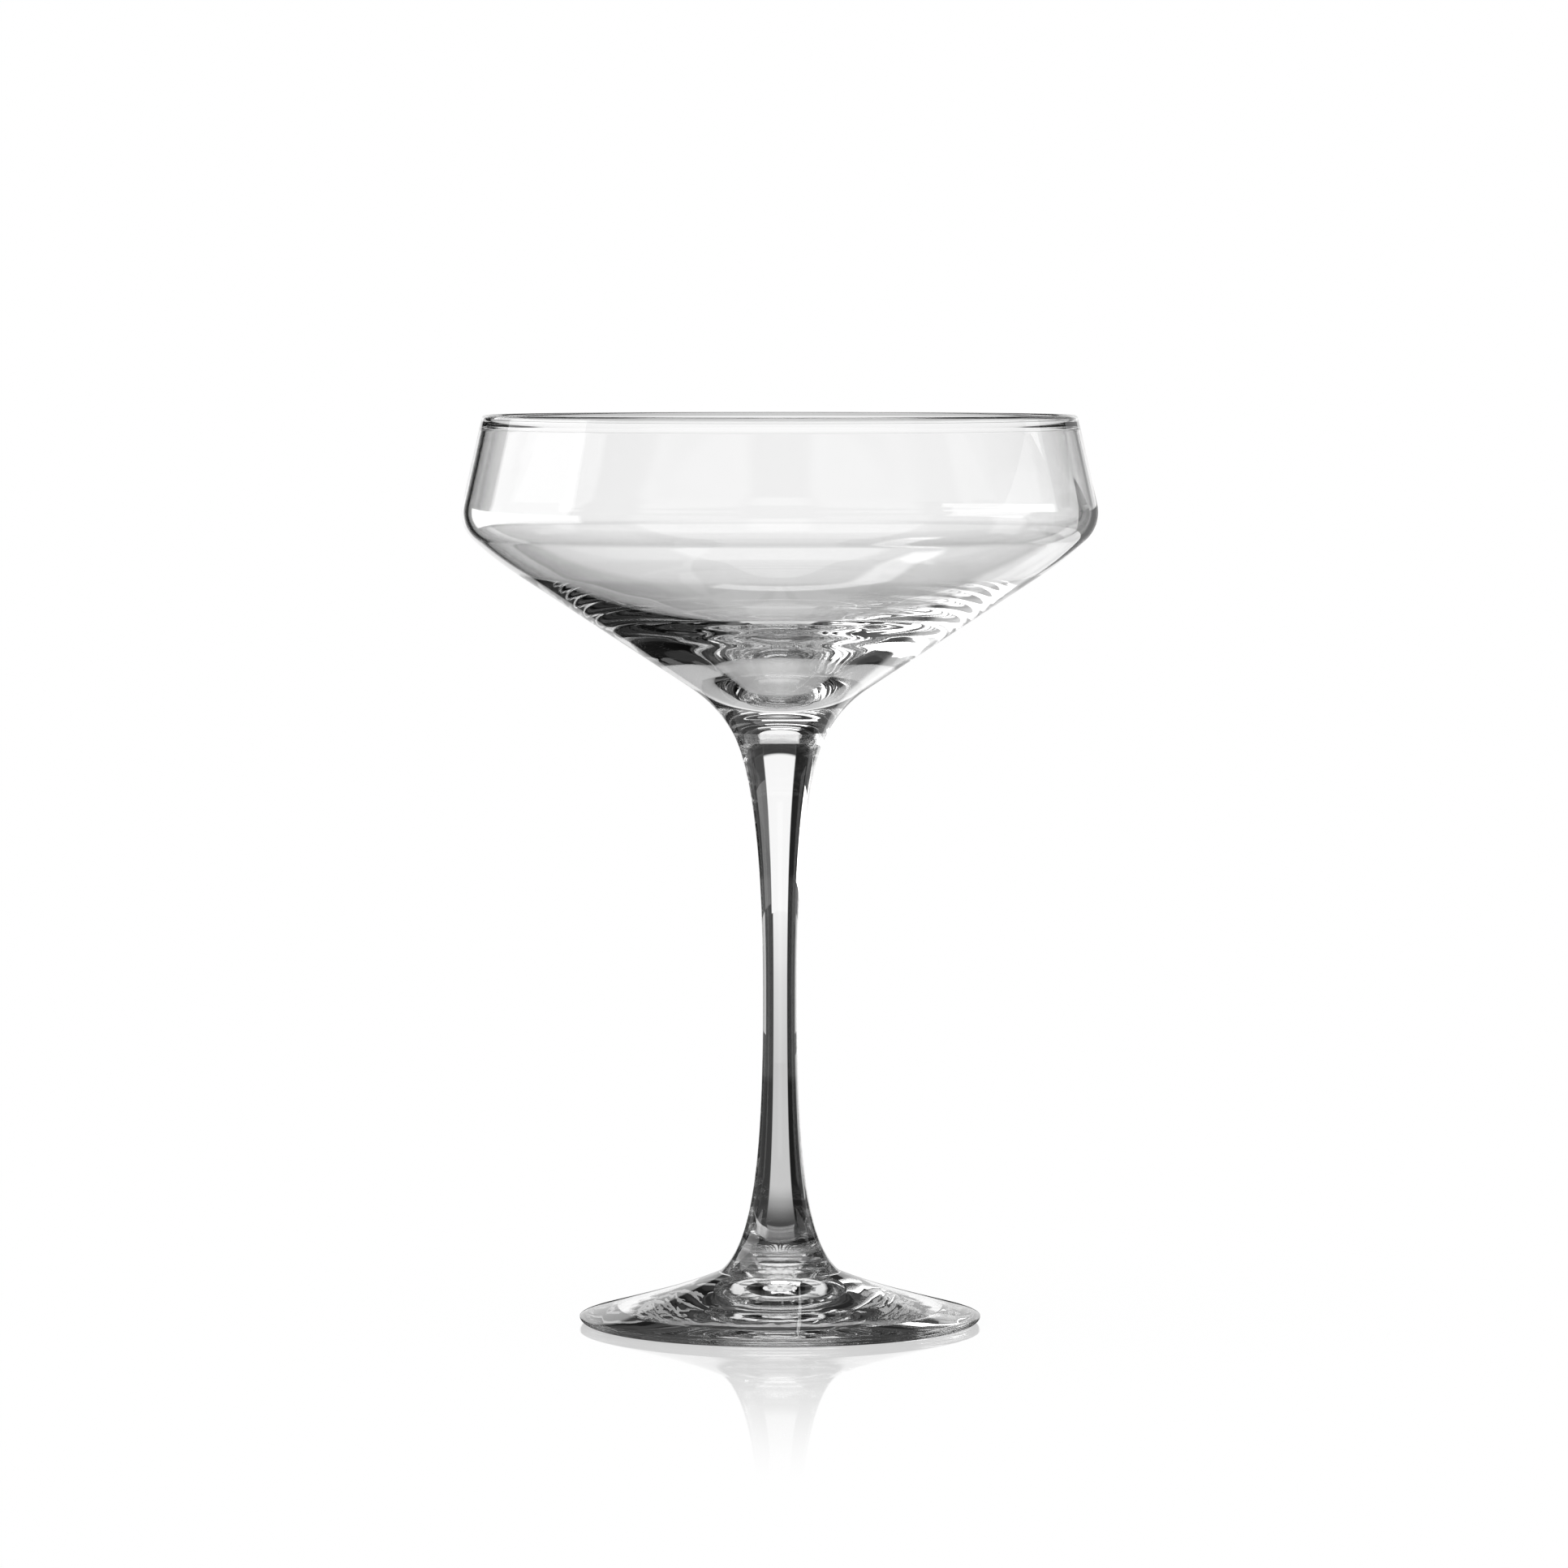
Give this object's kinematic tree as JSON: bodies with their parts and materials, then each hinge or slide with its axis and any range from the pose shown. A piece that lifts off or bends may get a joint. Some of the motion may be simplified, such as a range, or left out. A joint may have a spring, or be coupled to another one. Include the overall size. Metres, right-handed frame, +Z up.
{
  "type": "coupe glass",
  "caption": "Clear stemmed coupe glass: a wide shallow bowl with a short wall that leans in, a slim drawn stem and a round flared foot.",
  "frame": {"origin": "on the table, in the middle of the flat ring under the foot", "axes": "+Z up along the stem, out of the mouth of the bowl; the glass is round, so +X and +Y are free"},
  "size_m": [0.1172, 0.1172, 0.168],
  "materials": {
    "bowl_glass": "clear, colourless, fire-polished",
    "stem_glass": "clear, colourless, fire-polished",
    "foot_glass": "clear, colourless, fire-polished, faint tool waves"
  },
  "bodies": {
    "root": {"bowl": "bowl_glass", "stem": "stem_glass", "foot": "foot_glass"}
  },
  "joints": []
}
